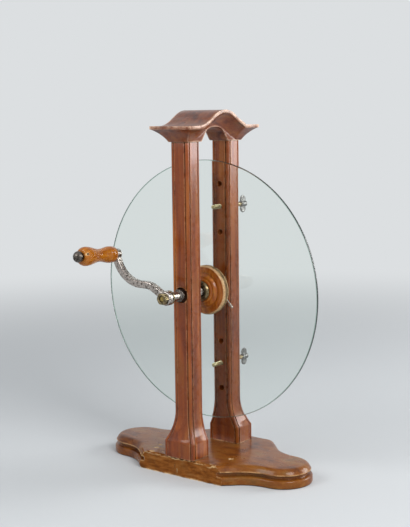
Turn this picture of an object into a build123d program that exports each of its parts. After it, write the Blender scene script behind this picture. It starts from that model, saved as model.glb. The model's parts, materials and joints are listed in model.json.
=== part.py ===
"""Glass plate electrical machine: a glass disc on a cranked axle between two wooden posts.

X runs along the base board, Y along the axle with the crank at -Y, and Z up.
The origin is the middle of the base board's underside. All sizes are millimetres.
"""
import os
from math import cos, hypot, radians, sin, sqrt, tan

from build123d import *

os.makedirs("parts", exist_ok=True)

# Clearances
running_gap = 0.05       # radial, between a shaft and its bore
wood_gap = 0.15          # on each side of a tenon
end_play = 0.3           # between faces that turn or slide past each other

# Base board
base_length = 412.0
base_width = 216.0
base_end_radius = 50.0
base_neck_radius = 72.0
base_shoulder_radius = 28.0
base_shoulder_slope = 45.0  # degrees, of the straight run from a shoulder to a neck
base_band_height = 14.6
base_band_round = 4.5
base_groove_height = 6.9
base_groove_depth = 8.0
base_top_height = 10.9
base_top_step = 2.5      # the upper moulding stands back from the lower band
base_top_round = 9.0
base_broken_reach = 86.3  # the crank side's moulding is gone beyond this

# Posts
post_spacing = 113.2
post_width = 36.0
post_depth = 33.6
post_height = 537.1
bead_size = 6.8
bead_radius = 4.2
foot_height = 28.0
flare_height = 52.0
flare_side = 13.8        # how far the foot spreads along the base board
flare_out = 12.8         # how far it spreads away from the disc
flare_in = -1.5          # the foot's inner face stands back a little
flare_sections = 5
tenon_width = 20.0
tenon_depth = 16.0
foot_tenon_height = 19.0
cap_tenon_height = 16.0

# Cap board
cap_width = 85.8
cap_length = 194.0
cap_end_height = 26.6
cap_crown_rise = 25.9
cap_flat_end = 25.0      # the wave dies out this far from each end
cap_fascia = 5.2
cap_ledge = 0.8          # flat under the fascia before the cove starts
cap_cove_hollow = 2.3    # how far the cove bows in from a straight slope
cap_seat_margin = 2.2    # the cap's underside overhangs each post by this
arch_margin = 2.3        # between a post's inner face and the arch
arch_height = 24.5

# Axle and bearings
axle_rise = 280.5        # above the base board
axle_radius = 9.0
journal_radius = 8.0
bush_radius = 13.5
front_bush_recess = 5.8
collar_radius = 11.0
collar_length = 8.0
neck_length = 21.4       # from the collar to the crank's brass washer
tang_size = 10.6
stub_radius = 5.0
rear_washer_radius = 11.0
rear_washer_thickness = 2.0
rear_nut_size = 16.0
rear_nut_length = 6.5
stub_proud = 1.5

# Glass disc and hub
disc_diameter = 450.0
disc_thickness = 5.0
leather_thickness = 1.0
hub_radius = 41.7
hub_rim = 6.0
hub_height = 14.0
hub_groove_radius = 29.5
hub_groove_half = 1.5
hub_crown = 1.0          # how far the flange's face rises to its groove
hub_groove_sunk = 0.6
hub_ring_round = 2.5
hub_boss_radius = 26.5
hub_neck_radius = 20.0
rear_neck_radius = 15.0
rear_neck_length = 18.5
clamp_nut_radius = 17.5
clamp_nut_length = 6.0
clamp_nut_dish = 13.0
clamp_nut_dish_depth = 2.0
pin_radius = 2.2
pin_reach = 47.0
pin_tail = 18.0
pin_from_boss = 12.2
pin_angle = 45.0         # the pin points this far below +X

# Crank
crank_washer_radius = 12.2
crank_washer_thickness = 3.0
arm_thickness = 11.5
arm_width = 12.0
arm_edge = 1.8
arm_eye_radius = 12.3
arm_boss_radius = 9.0
arm_lead = 29.3          # straight run out of the eye
arm_lead_angle = 30.0
arm_inner_radius = 33.2
arm_level_end = 53.5     # the level middle ends this far from the axle
arm_bend_radius = 56.0
arm_bend_turn = 82.0
crank_nut_size = 18.0
crank_nut_length = 8.5

# Handle
grip_tilt = 3.0
boss_gap = 0.1           # between the arm and the corner of a tilted washer
spindle_radius = 4.5
rivet_radius = 6.5
rivet_height = 2.2
rivet_flat = 0.6         # flat share of a rivet's head and of a screw's tip
grip_washer_radius = 10.6
grip_washer_thickness = 2.0
grip_length = 79.0
grip_inner_radius = 12.6
grip_bulb_radius = 14.1
grip_bulb_place = 0.12   # shares of the grip's length
grip_waist_radius = 10.9
grip_waist_place = 0.45
grip_swell_radius = 16.2
grip_swell_place = 0.87
grip_outer_radius = 10.8
button_radius = 9.4
button_neck_radius = 7.5
button_neck_length = 4.0
button_length = 10.0
button_rim_share = 0.6   # the button's rim ends and its dome starts here

# Cushion fixings on the posts
cushion_offset = 139.2   # from the axle to the middle of each cushion
guide_spacing = 84.4
guide_hole_radius = 3.8
guide_hole_depth = 15.0
screw_above_middle = 2.8
screw_radius = 4.0
screw_bush_radius = 7.0
screw_bush_length = 20.0
screw_hole_radius = 4.4
upper_screw_tip = 18.5
lower_screw_tip = 15.0
wing_offset = 35.4       # from the rear post's outer face to the wings' middle
wing_hub_radius = 5.4
wing_hub_length = 14.0
wing_lobe_radius = 7.2
wing_lobe_offset = 8.4
wing_thickness = 3.2
wing_stub_radius = 2.8
wing_rivet_radius = 4.2
wing_rivet_height = 1.4

# Screws that hold the posts from below
fixing_radius = 3.0
fixing_head_radius = 6.0
fixing_head_height = 3.4
fixing_length = 55.0
fixing_sunk = 0.8

# Places that follow from the sizes
base_height = base_band_height + base_groove_height + base_top_height
seat_z = base_height + post_height
axle_z = base_height + axle_rise
post_inner = post_spacing / 2 - post_depth / 2
post_outer = post_spacing / 2 + post_depth / 2
glass_face = disc_thickness / 2
hub_face = glass_face + leather_thickness
boss_face = hub_face + hub_height
collar_end = post_outer + end_play + collar_length
washer_face = collar_end + neck_length
arm_back = washer_face + crank_washer_thickness
arm_front = arm_back + arm_thickness
nut_front = arm_front + crank_nut_length
wings_y = post_outer + wing_offset
lead_turn = radians(arm_lead_angle)
bend_turn = radians(arm_bend_turn)
arm_rise = arm_lead * sin(lead_turn) + arm_inner_radius * (1 - cos(lead_turn))
arm_inner_reach = arm_lead * cos(lead_turn) + arm_inner_radius * sin(lead_turn)
crank_reach = arm_level_end + arm_bend_radius * sin(bend_turn)
crank_rise = arm_rise + arm_bend_radius * (1 - cos(bend_turn))
crank_x = -crank_reach
crank_z = axle_z + crank_rise
cap_top_end = seat_z + cap_end_height

axle_axis = Axis((0, 0, axle_z), (0, 1, 0))
axle_plane = Plane(origin=(0, 0, axle_z), x_dir=(0, 1, 0), z_dir=(1, 0, 0))
grip_direction = (0, -cos(radians(grip_tilt)), sin(radians(grip_tilt)))
grip_origin = (crank_x, -arm_front, crank_z)
grip_axis = Axis(grip_origin, grip_direction)
grip_plane = Plane(origin=grip_origin, x_dir=grip_direction, z_dir=(-1, 0, 0))
pin_direction = (cos(radians(pin_angle)), 0, -sin(radians(pin_angle)))


def facing_crank(y, x=0.0, z=axle_z):
    """A plane square to the axle whose normal points to the crank, with local Y up."""
    return Plane(origin=(x, y, z), x_dir=(1, 0, 0), z_dir=(0, -1, 0))


def save(piece, name):
    piece.part.label = name
    export_step(piece.part, f"parts/{name}.step")


# Base board: a waisted board with round ends, in two bands with a groove between them
end_x = base_length / 2 - base_end_radius
neck_y = base_end_radius + base_neck_radius
shoulder_y = base_width / 2 - base_shoulder_radius
slope = radians(base_shoulder_slope)
neck_end = (end_x - base_neck_radius * sin(slope), neck_y - base_neck_radius * cos(slope))
shoulder_start_y = shoulder_y + base_shoulder_radius * cos(slope)
shoulder_start_x = neck_end[0] - (shoulder_start_y - neck_end[1]) / tan(slope)
shoulder_x = shoulder_start_x - base_shoulder_radius * sin(slope)

with BuildSketch() as board_outline:
    with BuildLine():
        CenterArc((end_x, 0), base_end_radius, 0, 90)
        CenterArc((end_x, neck_y), base_neck_radius, 270, -base_shoulder_slope)
        Line(neck_end, (shoulder_start_x, shoulder_start_y))
        CenterArc((shoulder_x, shoulder_y), base_shoulder_radius, 90 - base_shoulder_slope,
                  base_shoulder_slope)
        Line((shoulder_x, base_width / 2), (0, base_width / 2))
        mirror(about=Plane.YZ)
        mirror(about=Plane.XZ)
    make_face()

post_places = [(0, -post_spacing / 2), (0, post_spacing / 2)]
mortise_floor = base_height - foot_tenon_height - wood_gap

with BuildPart() as base_board:
    add(board_outline.sketch)
    extrude(amount=base_band_height)
    fillet(base_board.edges().group_by(Axis.Z)[-1], base_band_round)
    fillet(base_board.edges().group_by(Axis.Z)[0], base_band_round / 2)
    with BuildSketch(Plane.XY.offset(base_band_height)):
        add(board_outline.sketch)
        offset(amount=-base_groove_depth, mode=Mode.REPLACE)
    extrude(amount=base_groove_height)
    with BuildSketch(Plane.XY.offset(base_band_height + base_groove_height)):
        add(board_outline.sketch)
        offset(amount=-base_top_step, mode=Mode.REPLACE)
    extrude(amount=base_top_height)
    fillet(base_board.edges().group_by(Axis.Z)[-1], base_top_round)
    split(bisect_by=Plane(origin=(0, -base_broken_reach, 0), z_dir=(0, 1, 0)), keep=Keep.TOP)
    with BuildSketch(Plane.XY.offset(base_height)):
        with Locations(post_places):
            Rectangle(tenon_width + 2 * wood_gap, tenon_depth + 2 * wood_gap)
    extrude(amount=mortise_floor - base_height, mode=Mode.SUBTRACT)
    with BuildSketch():
        with Locations(post_places):
            Circle(fixing_head_radius + wood_gap)
    extrude(amount=fixing_sunk, mode=Mode.SUBTRACT)
    for place in post_places:
        with Locations((*place, fixing_sunk)):
            Cone(fixing_head_radius + wood_gap, fixing_radius + wood_gap, fixing_head_height,
                 align=(Align.CENTER, Align.CENTER, Align.MIN), mode=Mode.SUBTRACT)
        with Locations((*place, fixing_sunk + fixing_head_height)):
            Cylinder(fixing_radius + wood_gap, base_height,
                     align=(Align.CENTER, Align.CENTER, Align.MIN), mode=Mode.SUBTRACT)
save(base_board, "base_board")


# Posts: a square shaft with a rounded bead on each corner, flared at the foot
flare_z = base_height + foot_height
shaft_z = flare_z + flare_height
flare_arc = (flare_height ** 2 + flare_out ** 2) / (2 * flare_out)


def flare_share(z):
    """How far the flare has opened at this height, from 0 at the shaft to 1 at the foot."""
    if z >= shaft_z:
        return 0.0
    if z <= flare_z:
        return 1.0
    return (flare_arc - sqrt(flare_arc ** 2 - (shaft_z - z) ** 2)) / flare_out


def beaded_section(side, z):
    """The post's section at a height: a rectangle with a quirked bead at each corner."""
    share = flare_share(z)
    half_x = post_width / 2 + flare_side * share
    y_in = side * (post_inner - flare_in * share)
    y_out = side * (post_outer + flare_out * share)
    middle = (y_in + y_out) / 2
    half_y = abs(y_out - y_in) / 2
    with BuildSketch(Plane.XY.offset(z)) as section:
        with Locations((0, middle)):
            Rectangle(2 * half_x, 2 * half_y)
            with GridLocations(2 * half_x, 2 * half_y, 2, 2):
                Rectangle(2 * bead_size, 2 * bead_size, mode=Mode.SUBTRACT)
            with GridLocations(2 * (half_x - bead_radius), 2 * (half_y - bead_radius), 2, 2):
                Circle(bead_radius)
    return section.sketch


def post_blank(side):
    """A post with its tenons; side is -1 for the crank side and 1 for the far side."""
    y = side * post_spacing / 2
    with BuildPart() as blank:
        add(beaded_section(side, base_height))
        extrude(amount=foot_height)
        for step in range(flare_sections):
            add(beaded_section(side, flare_z + flare_height * step / (flare_sections - 1)))
        loft()
        add(beaded_section(side, shaft_z))
        extrude(amount=seat_z - shaft_z)
        with BuildSketch(Plane.XY.offset(base_height - foot_tenon_height)):
            with Locations((0, y)):
                Rectangle(tenon_width, tenon_depth)
        extrude(amount=foot_tenon_height)
        with BuildSketch(Plane.XY.offset(seat_z)):
            with Locations((0, y)):
                Rectangle(tenon_width, tenon_depth)
        extrude(amount=cap_tenon_height)
        with Locations((0, y, base_height - foot_tenon_height)):
            Cylinder(fixing_radius + running_gap, fixing_length,
                     align=(Align.CENTER, Align.CENTER, Align.MIN), mode=Mode.SUBTRACT)
    return blank.part


cushion_places = [axle_z - cushion_offset, axle_z + cushion_offset]
guide_places = [z + shift for z in cushion_places for shift in (-guide_spacing / 2, guide_spacing / 2)]
screw_places = {
    "lower": cushion_places[0] + screw_above_middle,
    "upper": cushion_places[1] + screw_above_middle,
}

with BuildPart() as front_post:
    add(post_blank(-1))
    with BuildSketch(facing_crank(-post_inner)):
        Circle(bush_radius + running_gap)
    extrude(amount=post_depth, mode=Mode.SUBTRACT)
    for z in guide_places:
        with BuildSketch(facing_crank(-post_inner, z=z)):
            Circle(guide_hole_radius)
        extrude(amount=guide_hole_depth, mode=Mode.SUBTRACT)
save(front_post, "front_post")

with BuildPart() as rear_post:
    add(post_blank(1))
    with BuildSketch(facing_crank(post_outer)):
        Circle(bush_radius + running_gap)
    extrude(amount=post_depth, mode=Mode.SUBTRACT)
    for z in guide_places:
        with BuildSketch(facing_crank(post_inner, z=z)):
            Circle(guide_hole_radius)
        extrude(amount=-guide_hole_depth, mode=Mode.SUBTRACT)
    for z in screw_places.values():
        with BuildSketch(facing_crank(post_outer, z=z)):
            Circle(screw_hole_radius)
        extrude(amount=post_depth, mode=Mode.SUBTRACT)
        with BuildSketch(facing_crank(post_outer, z=z)):
            Circle(screw_bush_radius + running_gap)
        extrude(amount=screw_bush_length, mode=Mode.SUBTRACT)
save(rear_post, "rear_post")


# Cap board: a waved top, a fascia that follows the wave, a cove under it and an arch
# The wave and the arch are given as shares of their half width and of their rise
wave_shape = [(0.0, 1.0), (0.29, 0.83), (0.58, 0.36), (0.78, 0.1), (1.0, 0.0)]
arch_shape = [(0.0, 1.0), (0.28, 0.96), (0.6, 0.755), (0.8, 0.4), (1.0, 0.0)]
cap_half = cap_length / 2
wave_half = cap_half - cap_flat_end
arch_half = post_inner - arch_margin
seat_half_x = post_width / 2 + cap_seat_margin
seat_half_y = post_outer + cap_seat_margin


def both_sides(shape, half_width, floor, rise):
    """The whole curve, from -Y to +Y, of a shape that is the same on both sides."""
    right = [(share * half_width, floor + up * rise) for share, up in shape]
    return [(-y, z) for y, z in reversed(right[1:])] + right


def draw_wave():
    """The cap's top line: a flat end, the wave and the other flat end."""
    Line((-cap_half, cap_top_end), (-wave_half, cap_top_end))
    Spline(*both_sides(wave_shape, wave_half, cap_top_end, cap_crown_rise), tangents=[(1, 0), (1, 0)])
    Line((wave_half, cap_top_end), (cap_half, cap_top_end))


def cove_waste(plane, seat, edge):
    """What is cut away outside the cove, seen along one edge of the cap."""
    lip = edge - cap_ledge
    top = cap_top_end - cap_fascia
    bottom = seat_z - cap_crown_rise - cap_fascia
    beyond = edge + cap_width
    run, rise = lip - seat, top - seat_z
    hollow = cap_cove_hollow / hypot(run, rise)
    deepest = (seat + run / 2 - rise * hollow, seat_z + rise / 2 + run * hollow)
    with BuildSketch(plane) as waste:
        with BuildLine():
            Polyline((seat, seat_z), (seat, bottom), (beyond, bottom), (beyond, top), (lip, top))
            ThreePointArc((lip, top), deepest, (seat, seat_z))
        make_face()
    return waste.sketch


with BuildLine(Plane.YZ) as wave:
    draw_wave()

with BuildPart() as cap_board:
    with BuildSketch(Plane.YZ.offset(-cap_width / 2)):
        with BuildLine():
            draw_wave()
            Polyline((cap_half, cap_top_end), (cap_half, seat_z), (arch_half, seat_z))
            Spline(*both_sides(arch_shape, arch_half, seat_z, arch_height))
            Polyline((-arch_half, seat_z), (-cap_half, seat_z), (-cap_half, cap_top_end))
        make_face()
    extrude(amount=cap_width)
    end_waste = cove_waste(Plane.YZ.offset(-cap_width), seat_half_y, cap_half)
    extrude(end_waste, amount=2 * cap_width, mode=Mode.SUBTRACT)
    extrude(end_waste.mirror(Plane.XZ), amount=2 * cap_width, dir=(1, 0, 0), mode=Mode.SUBTRACT)
    side_waste = cove_waste(Plane.XZ.offset(cap_half), seat_half_x, cap_width / 2)
    sweep(sections=side_waste, path=wave.line, normal=(0, 1, 0), mode=Mode.SUBTRACT)
    sweep(sections=side_waste.mirror(Plane.YZ), path=wave.line, normal=(0, 1, 0), mode=Mode.SUBTRACT)
    with BuildSketch(Plane.XY.offset(seat_z)):
        with Locations(post_places):
            Rectangle(tenon_width + 2 * wood_gap, tenon_depth + 2 * wood_gap)
    extrude(amount=cap_tenon_height + wood_gap, mode=Mode.SUBTRACT)
save(cap_board, "cap_board")


# Axle, with a square tang and a threaded stub at the crank end, and its two bushes
mid_end = post_inner - end_play
rear_washer_y = post_outer + end_play
rear_nut_y = rear_washer_y + rear_washer_thickness
rear_stub_end = rear_nut_y + rear_nut_length + stub_proud
front_stub_end = nut_front - stub_proud
pin_y = boss_face + pin_from_boss
pin_plane = Plane(origin=(0, pin_y, axle_z), x_dir=(0, 1, 0), z_dir=pin_direction)

with BuildPart() as axle:
    with BuildSketch(axle_plane):
        with BuildLine():
            Polyline(
                (-washer_face, 0),
                (-washer_face, journal_radius),
                (-mid_end, journal_radius),
                (-mid_end, axle_radius),
                (mid_end, axle_radius),
                (mid_end, journal_radius),
                (rear_washer_y, journal_radius),
                (rear_washer_y, stub_radius),
                (rear_stub_end, stub_radius),
                (rear_stub_end, 0),
                close=True,
            )
        make_face()
    revolve(axis=axle_axis)
    with BuildSketch(facing_crank(-washer_face)):
        Rectangle(tang_size, tang_size)
    extrude(amount=arm_front - washer_face)
    with BuildSketch(facing_crank(-arm_front)):
        Circle(stub_radius)
    extrude(amount=front_stub_end - arm_front)
    with BuildSketch(pin_plane):
        Circle(pin_radius + running_gap)
    extrude(amount=axle_radius, both=True, mode=Mode.SUBTRACT)
save(axle, "axle")

with BuildPart() as front_axle_bush:
    with BuildSketch(facing_crank(-post_inner)):
        Circle(bush_radius)
        Circle(journal_radius + running_gap, mode=Mode.SUBTRACT)
    extrude(amount=post_depth - front_bush_recess)
save(front_axle_bush, "front_axle_bush")

with BuildPart() as rear_axle_bush:
    with BuildSketch(facing_crank(post_inner)):
        Circle(bush_radius)
        Circle(journal_radius + running_gap, mode=Mode.SUBTRACT)
    extrude(amount=-post_depth)
save(rear_axle_bush, "rear_axle_bush")

with BuildPart() as rear_axle_washer:
    with BuildSketch(facing_crank(rear_washer_y)):
        Circle(rear_washer_radius)
        Circle(stub_radius + running_gap, mode=Mode.SUBTRACT)
    extrude(amount=-rear_washer_thickness)
save(rear_axle_washer, "rear_axle_washer")

with BuildPart() as rear_axle_nut:
    with BuildSketch(facing_crank(rear_nut_y)):
        RegularPolygon(rear_nut_size / 2, 6, major_radius=False)
        Circle(stub_radius + running_gap, mode=Mode.SUBTRACT)
    extrude(amount=-rear_nut_length)
save(rear_axle_nut, "rear_axle_nut")

with BuildPart() as axle_collar:
    with BuildSketch(facing_crank(-post_outer - end_play)):
        Circle(collar_radius)
        Circle(journal_radius + running_gap, mode=Mode.SUBTRACT)
    extrude(amount=collar_length)
    fillet(axle_collar.edges().filter_by(GeomType.CIRCLE).sort_by(SortBy.RADIUS)[-2:], collar_length / 8)
save(axle_collar, "axle_collar")


# Glass disc, held between two leather washers and two turned flanges
bore_radius = axle_radius + running_gap

with BuildPart() as glass_disc:
    with BuildSketch(facing_crank(-glass_face)):
        Circle(disc_diameter / 2)
        Circle(bore_radius, mode=Mode.SUBTRACT)
    extrude(amount=-disc_thickness)
    chamfer(glass_disc.edges().filter_by(GeomType.CIRCLE).sort_by(SortBy.RADIUS)[-2:], disc_thickness / 8)
save(glass_disc, "glass_disc")

for name, face in (("front_leather_washer", -glass_face), ("rear_leather_washer", hub_face)):
    with BuildPart() as leather_washer:
        with BuildSketch(facing_crank(face)):
            Circle(hub_radius)
            Circle(bore_radius, mode=Mode.SUBTRACT)
        extrude(amount=leather_thickness)
    save(leather_washer, name)


def flange_outline(side):
    """Half of a hub flange, from its rim to its boss; side is -1 in front and 1 behind the glass."""
    rim = hub_face + hub_rim
    ring_top = boss_face - hub_rim / 3
    profile = [
        (hub_face, bore_radius),
        (hub_face, hub_radius),
        (rim - hub_rim / 3, hub_radius),
        (rim, hub_radius - hub_rim / 3),
        (rim + hub_crown, hub_groove_radius + hub_groove_half),
        (rim - hub_groove_sunk, hub_groove_radius),
        (rim + hub_crown, hub_groove_radius - hub_groove_half),
        (ring_top - hub_groove_half, hub_boss_radius),
        (ring_top, hub_boss_radius - hub_ring_round),
        (ring_top, hub_neck_radius + hub_groove_half),
        (boss_face, hub_neck_radius),
    ]
    return [(side * y, r) for y, r in profile]


with BuildPart() as front_hub_flange:
    with BuildSketch(axle_plane):
        with BuildLine():
            Polyline(*flange_outline(-1), (-boss_face, bore_radius), close=True)
        make_face()
    revolve(axis=axle_axis)
save(front_hub_flange, "front_hub_flange")

with BuildPart() as rear_hub_flange:
    with BuildSketch(axle_plane):
        with BuildLine():
            Polyline(
                *flange_outline(1),
                (boss_face, rear_neck_radius),
                (boss_face + rear_neck_length, rear_neck_radius),
                (boss_face + rear_neck_length, bore_radius),
                close=True,
            )
        make_face()
    revolve(axis=axle_axis)
    with BuildSketch(pin_plane):
        Circle(pin_radius + running_gap)
    extrude(amount=hub_radius, both=True, mode=Mode.SUBTRACT)
save(rear_hub_flange, "rear_hub_flange")

with BuildPart() as clamp_nut:
    with BuildSketch(facing_crank(-boss_face)):
        Circle(clamp_nut_radius)
        Circle(bore_radius, mode=Mode.SUBTRACT)
    extrude(amount=clamp_nut_length)
    chamfer(clamp_nut.faces().sort_by(Axis.Y)[0].outer_wire().edges(), clamp_nut_length / 5)
    with BuildSketch(facing_crank(-boss_face - clamp_nut_length)):
        Circle(clamp_nut_dish)
    extrude(amount=-clamp_nut_dish_depth, mode=Mode.SUBTRACT)
save(clamp_nut, "clamp_nut")

with BuildPart() as hub_pin:
    with BuildSketch(pin_plane.offset(-pin_tail)):
        Circle(pin_radius)
    extrude(amount=pin_tail + pin_reach)
    fillet(hub_pin.edges().filter_by(GeomType.CIRCLE), pin_radius / 2)
save(hub_pin, "hub_pin")


# Crank arm: an S from the axle's tang up to the level middle and on up to the handle's boss
with BuildLine(facing_crank(-(arm_back + arm_front) / 2)) as arm_path:
    Line((0, 0), (-arm_lead * cos(lead_turn), arm_lead * sin(lead_turn)))
    CenterArc((-arm_inner_reach, arm_rise - arm_inner_radius), arm_inner_radius, 90 - arm_lead_angle,
              arm_lead_angle)
    Line((-arm_inner_reach, arm_rise), (-arm_level_end, arm_rise))
    CenterArc((-arm_level_end, arm_rise + arm_bend_radius), arm_bend_radius, 270, -arm_bend_turn)

with BuildPart() as crank_arm:
    with BuildSketch(facing_crank(-arm_back)):
        Circle(arm_eye_radius)
        with Locations((crank_x, crank_rise)):
            Circle(arm_boss_radius)
    extrude(amount=arm_thickness)
    chamfer(crank_arm.edges().filter_by(GeomType.CIRCLE), arm_edge)
    with BuildSketch(Plane(origin=arm_path.line @ 0, x_dir=(0, 1, 0), z_dir=arm_path.line % 0)):
        RectangleRounded(arm_thickness, arm_width, arm_edge)
    sweep(path=arm_path.line)
    with BuildSketch(facing_crank(-arm_back)):
        Rectangle(tang_size + 2 * running_gap, tang_size + 2 * running_gap)
    extrude(amount=arm_thickness, mode=Mode.SUBTRACT)
    with BuildSketch(Plane(origin=grip_origin, x_dir=(1, 0, 0), z_dir=grip_direction)):
        Circle(spindle_radius + running_gap)
    extrude(amount=2 * arm_thickness, both=True, mode=Mode.SUBTRACT)
save(crank_arm, "crank_arm")

with BuildPart() as crank_washer:
    with BuildSketch(facing_crank(-washer_face)):
        Circle(crank_washer_radius)
        Rectangle(tang_size + 2 * running_gap, tang_size + 2 * running_gap, mode=Mode.SUBTRACT)
    extrude(amount=crank_washer_thickness)
save(crank_washer, "crank_washer")

with BuildPart() as crank_nut:
    with BuildSketch(facing_crank(-arm_front)):
        RegularPolygon(crank_nut_size / 2, 6, major_radius=False)
    extrude(amount=crank_nut_length)
    chamfer(crank_nut.faces().sort_by(Axis.Y)[0].edges(), crank_nut_length / 6)
    with BuildSketch(facing_crank(-arm_front)):
        Circle(stub_radius + running_gap)
    extrude(amount=crank_nut_length, mode=Mode.SUBTRACT)
save(crank_nut, "crank_nut")


# Handle: a turned grip that spins on a spindle riveted in the arm's boss
washer_start = grip_washer_radius * sin(radians(grip_tilt)) + boss_gap
grip_start = washer_start + grip_washer_thickness + end_play
grip_end = grip_start + grip_length
button_start = grip_end + end_play
head_start = button_start + button_neck_length
dome_height = button_length * (1 - button_rim_share)
dome_start = head_start + button_length - dome_height
dome_radius = (button_radius ** 2 + dome_height ** 2) / (2 * dome_height)
rivet_start = -arm_thickness - rivet_radius * sin(radians(grip_tilt)) - boss_gap

with BuildPart() as grip_spindle:
    with BuildSketch(grip_plane):
        with BuildLine():
            Polyline(
                (rivet_start - rivet_height, 0),
                (rivet_start - rivet_height, rivet_radius * rivet_flat),
                (rivet_start - rivet_height / 2, rivet_radius),
                (rivet_start, rivet_radius),
                (rivet_start, spindle_radius),
                (head_start, spindle_radius),
                (head_start, 0),
                close=True,
            )
        make_face()
    revolve(axis=grip_axis)
save(grip_spindle, "grip_spindle")

with BuildPart() as grip_washer:
    with BuildSketch(grip_plane):
        with Locations((washer_start + grip_washer_thickness / 2,
                        (grip_washer_radius + spindle_radius + running_gap) / 2)):
            Rectangle(grip_washer_thickness, grip_washer_radius - spindle_radius - running_gap)
    revolve(axis=grip_axis)
save(grip_washer, "grip_washer")

with BuildPart() as grip:
    with BuildSketch(grip_plane):
        with BuildLine():
            Polyline(
                (grip_end, grip_outer_radius),
                (grip_end, spindle_radius + running_gap),
                (grip_start, spindle_radius + running_gap),
                (grip_start, grip_inner_radius),
            )
            Spline(
                (grip_start, grip_inner_radius),
                (grip_start + grip_length * grip_bulb_place, grip_bulb_radius),
                (grip_start + grip_length * grip_waist_place, grip_waist_radius),
                (grip_start + grip_length * grip_swell_place, grip_swell_radius),
                (grip_end, grip_outer_radius),
                tangents=[(0.7, 0.7), (0.25, -0.97)],
            )
        make_face()
    revolve(axis=grip_axis)
save(grip, "grip")

with BuildPart() as grip_button:
    with BuildSketch(grip_plane):
        with BuildLine():
            Polyline(
                (dome_start, button_radius),
                (head_start, button_radius),
                (head_start, button_neck_radius),
                (button_start, button_neck_radius),
                (button_start, spindle_radius + running_gap),
                (head_start + running_gap, spindle_radius + running_gap),
                (head_start + running_gap, 0),
                (head_start + button_length, 0),
            )
            RadiusArc((head_start + button_length, 0), (dome_start, button_radius), -dome_radius)
        make_face()
    revolve(axis=grip_axis)
save(grip_button, "grip_button")


# Pressure screws of the missing cushions: a threaded rod through the rear post, with wings to turn it
wing_start = wings_y - wing_hub_length / 2
wing_end = wings_y + wing_hub_length / 2

for name, tip in (("upper", upper_screw_tip), ("lower", lower_screw_tip)):
    z = screw_places[name]
    rod_axis = Axis((0, 0, z), (0, 1, 0))
    rod_plane = Plane(origin=(0, 0, z), x_dir=(0, 1, 0), z_dir=(1, 0, 0))
    with BuildPart() as screw_bush:
        with BuildSketch(facing_crank(post_outer, z=z)):
            Circle(screw_bush_radius)
            Circle(screw_radius + running_gap, mode=Mode.SUBTRACT)
        extrude(amount=screw_bush_length)
    save(screw_bush, f"{name}_screw_bush")

    with BuildPart() as pressure_screw:
        with BuildSketch(rod_plane):
            with BuildLine():
                Polyline(
                    (tip, 0),
                    (tip, screw_radius * rivet_flat),
                    (tip + screw_radius * (1 - rivet_flat), screw_radius),
                    (wing_start - running_gap, screw_radius),
                    (wing_start - running_gap, wing_stub_radius),
                    (wing_end + running_gap, wing_stub_radius),
                    (wing_end + running_gap, wing_rivet_radius),
                    (wing_end + wing_rivet_height / 2, wing_rivet_radius),
                    (wing_end + wing_rivet_height, wing_rivet_radius * rivet_flat),
                    (wing_end + wing_rivet_height, 0),
                    close=True,
                )
            make_face()
        revolve(axis=rod_axis)
    save(pressure_screw, f"{name}_pressure_screw")

    with BuildPart() as wing_head:
        with BuildSketch(facing_crank(wing_start, z=z)):
            Circle(wing_hub_radius)
        extrude(amount=-wing_hub_length)
        chamfer(wing_head.edges().filter_by(GeomType.CIRCLE), wing_hub_radius / 8)
        with BuildSketch(rod_plane):
            for lobe in (-wing_lobe_offset, wing_lobe_offset):
                with Locations((wings_y, lobe)):
                    Circle(wing_lobe_radius)
        extrude(amount=wing_thickness / 2, both=True)
        with BuildSketch(facing_crank(wing_start - end_play, z=z)):
            Circle(wing_stub_radius + running_gap)
        extrude(amount=-wing_hub_length - 2 * end_play, mode=Mode.SUBTRACT)
    save(wing_head, f"{name}_wing_head")


# Countersunk screws that hold the posts from under the base board
for name, place in zip(("front", "rear"), post_places):
    with BuildPart() as post_screw:
        with Locations((*place, fixing_sunk)):
            Cone(fixing_head_radius, fixing_radius, fixing_head_height,
                 align=(Align.CENTER, Align.CENTER, Align.MIN))
            Cylinder(fixing_radius, fixing_length, align=(Align.CENTER, Align.CENTER, Align.MIN))
    save(post_screw, f"{name}_post_screw")
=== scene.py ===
"""Looks for the glass plate electrical machine: worn woods, old glass, forged iron and aged brass.

Sizes in this file are millimetres, in the CAD part's frame: X along the base board, Y along the
axle with the crank at -Y, and Z up. They become metres where a mesh is made.
"""
import json
from math import cos, hypot, pi, radians, sin, sqrt

import bmesh
import bpy
from mathutils import Matrix, Vector

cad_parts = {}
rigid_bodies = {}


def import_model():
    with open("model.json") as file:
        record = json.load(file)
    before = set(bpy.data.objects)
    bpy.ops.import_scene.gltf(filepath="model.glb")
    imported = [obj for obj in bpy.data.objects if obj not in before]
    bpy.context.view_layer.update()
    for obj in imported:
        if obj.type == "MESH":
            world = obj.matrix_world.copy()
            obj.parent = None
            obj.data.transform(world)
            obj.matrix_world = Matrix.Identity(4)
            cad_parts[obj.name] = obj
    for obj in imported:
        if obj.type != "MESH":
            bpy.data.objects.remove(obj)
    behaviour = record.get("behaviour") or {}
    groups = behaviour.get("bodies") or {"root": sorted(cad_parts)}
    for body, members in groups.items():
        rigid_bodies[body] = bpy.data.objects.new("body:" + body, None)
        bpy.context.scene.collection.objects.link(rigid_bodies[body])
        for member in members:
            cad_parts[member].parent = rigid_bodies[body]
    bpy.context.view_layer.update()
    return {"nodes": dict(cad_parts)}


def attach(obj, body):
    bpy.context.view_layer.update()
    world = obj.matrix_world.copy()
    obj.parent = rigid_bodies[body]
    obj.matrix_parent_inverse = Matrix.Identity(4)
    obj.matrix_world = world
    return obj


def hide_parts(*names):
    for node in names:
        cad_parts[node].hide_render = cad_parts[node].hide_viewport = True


MM = 0.001

for leftover in list(bpy.data.objects):
    bpy.data.objects.remove(leftover)
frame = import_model()

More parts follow.
